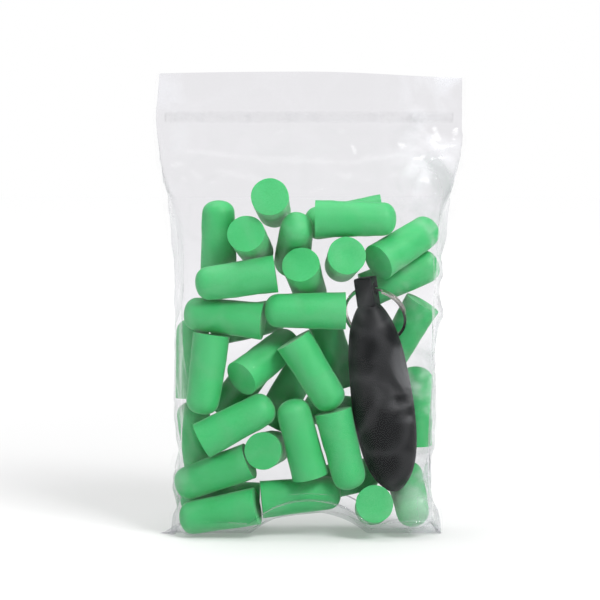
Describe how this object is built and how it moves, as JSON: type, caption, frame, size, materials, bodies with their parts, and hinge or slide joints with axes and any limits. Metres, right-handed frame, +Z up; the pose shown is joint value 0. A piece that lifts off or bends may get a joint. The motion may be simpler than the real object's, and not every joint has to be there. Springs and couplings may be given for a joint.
{
  "type": "foam ear plugs in a resealable bag",
  "caption": "Clear press-seal bag of tapered foam ear plugs with a squeeze-open carry case on a split ring; standing, closed.",
  "frame": {"origin": "middle of the standing bag's footprint, on the surface it stands on", "axes": "+Z up to the bag's mouth; +X to the right across the bag's width, as seen from its front; the front faces -Y"},
  "size_m": [0.1012, 0.0314, 0.15],
  "materials": {
    "foam": "matt, slow-recovery foam with a smooth skin",
    "film": "clear polyethylene film, slightly milky",
    "film_seam": "clear polyethylene, double thickness",
    "case_rubber": "soft-touch matt",
    "ring_steel": "bright nickel"
  },
  "bodies": {
    "bag": {"front_panel": "film", "back_panel": "film", "left_seam": "film_seam", "right_seam": "film_seam", "case_shell": "case_rubber", "ear_plug_02": "foam", "ear_plug_03": "foam", "ear_plug_04": "foam", "ear_plug_05": "foam", "ear_plug_06": "foam", "ear_plug_08": "foam", "ear_plug_09": "foam", "ear_plug_10": "foam", "ear_plug_11": "foam", "ear_plug_12": "foam", "ear_plug_13": "foam", "ear_plug_14": "foam", "ear_plug_15": "foam", "ear_plug_16": "foam", "ear_plug_17": "foam", "ear_plug_18": "foam", "ear_plug_19": "foam", "ear_plug_20": "foam", "ear_plug_21": "foam", "ear_plug_22": "foam", "ear_plug_23": "foam", "ear_plug_24": "foam", "ear_plug_25": "foam", "ear_plug_26": "foam", "ear_plug_27": "foam", "ear_plug_28": "foam", "ear_plug_29": "foam", "ear_plug_30": "foam", "ear_plug_31": "foam", "ear_plug_32": "foam", "ear_plug_33": "foam", "ear_plug_34": "foam", "ear_plug_35": "foam", "ear_plug_36": "foam"},
    "front_mouth": {"front_lip": "film", "zip_rib": "film_seam"},
    "back_mouth": {"back_lip": "film", "zip_channel": "film_seam"},
    "ring": {"split_ring": "ring_steel"},
    "left_case_lip": {"case_lip_left": "case_rubber"},
    "right_case_lip": {"case_lip_right": "case_rubber"},
    "front_loose_plug": {"ear_plug_07": "foam"},
    "left_loose_plug": {"ear_plug_01": "foam"}
  },
  "joints": [
    {"name": "front_mouth_open", "type": "hinge", "parent": "bag", "child": "front_mouth", "pos_m": [0, -0.01415, 0.112], "axis": [1, 0, 0], "range_deg": [0, 41]},
    {"name": "back_mouth_open", "type": "hinge", "parent": "bag", "child": "back_mouth", "pos_m": [0, 0.01415, 0.112], "axis": [-1, 0, 0], "range_deg": [0, 41]},
    {"name": "front_plug_lift", "type": "slide", "parent": "bag", "child": "front_loose_plug", "axis": [0, 0.2999, 0.954], "range_m": [0, 0.055]},
    {"name": "left_plug_lift", "type": "slide", "parent": "bag", "child": "left_loose_plug", "axis": [0, -0.0995, 0.995], "range_m": [0, 0.055]},
    {"name": "ring_swing", "type": "hinge", "parent": "bag", "child": "ring", "pos_m": [0.0185, -0.0066, 0.08094], "axis": [0.9177, -0.3746, 0.1322], "range_deg": [0, 4]},
    {"name": "left_case_lip_open", "type": "hinge", "parent": "bag", "child": "left_case_lip", "pos_m": [0.01734, -0.00027, 0.0429], "axis": [-0.1426, 0, 0.9898], "range_deg": [0, 12], "stiffness_Nm_per_rad": 0.0003},
    {"name": "right_case_lip_open", "type": "hinge", "parent": "bag", "child": "right_case_lip", "pos_m": [0.03035, -0.00027, 0.04478], "axis": [0.1426, 0, -0.9898], "range_deg": [0, 12], "stiffness_Nm_per_rad": 0.0003}
  ],
  "couplings": [
    {"joint": "back_mouth_open", "follows": "front_mouth_open", "ratio": 1},
    {"joint": "front_plug_lift", "follows": "front_mouth_open", "m_per_rad": 0.07686},
    {"joint": "left_plug_lift", "follows": "front_mouth_open", "m_per_rad": 0.07686},
    {"joint": "right_case_lip_open", "follows": "left_case_lip_open", "ratio": 1}
  ]
}
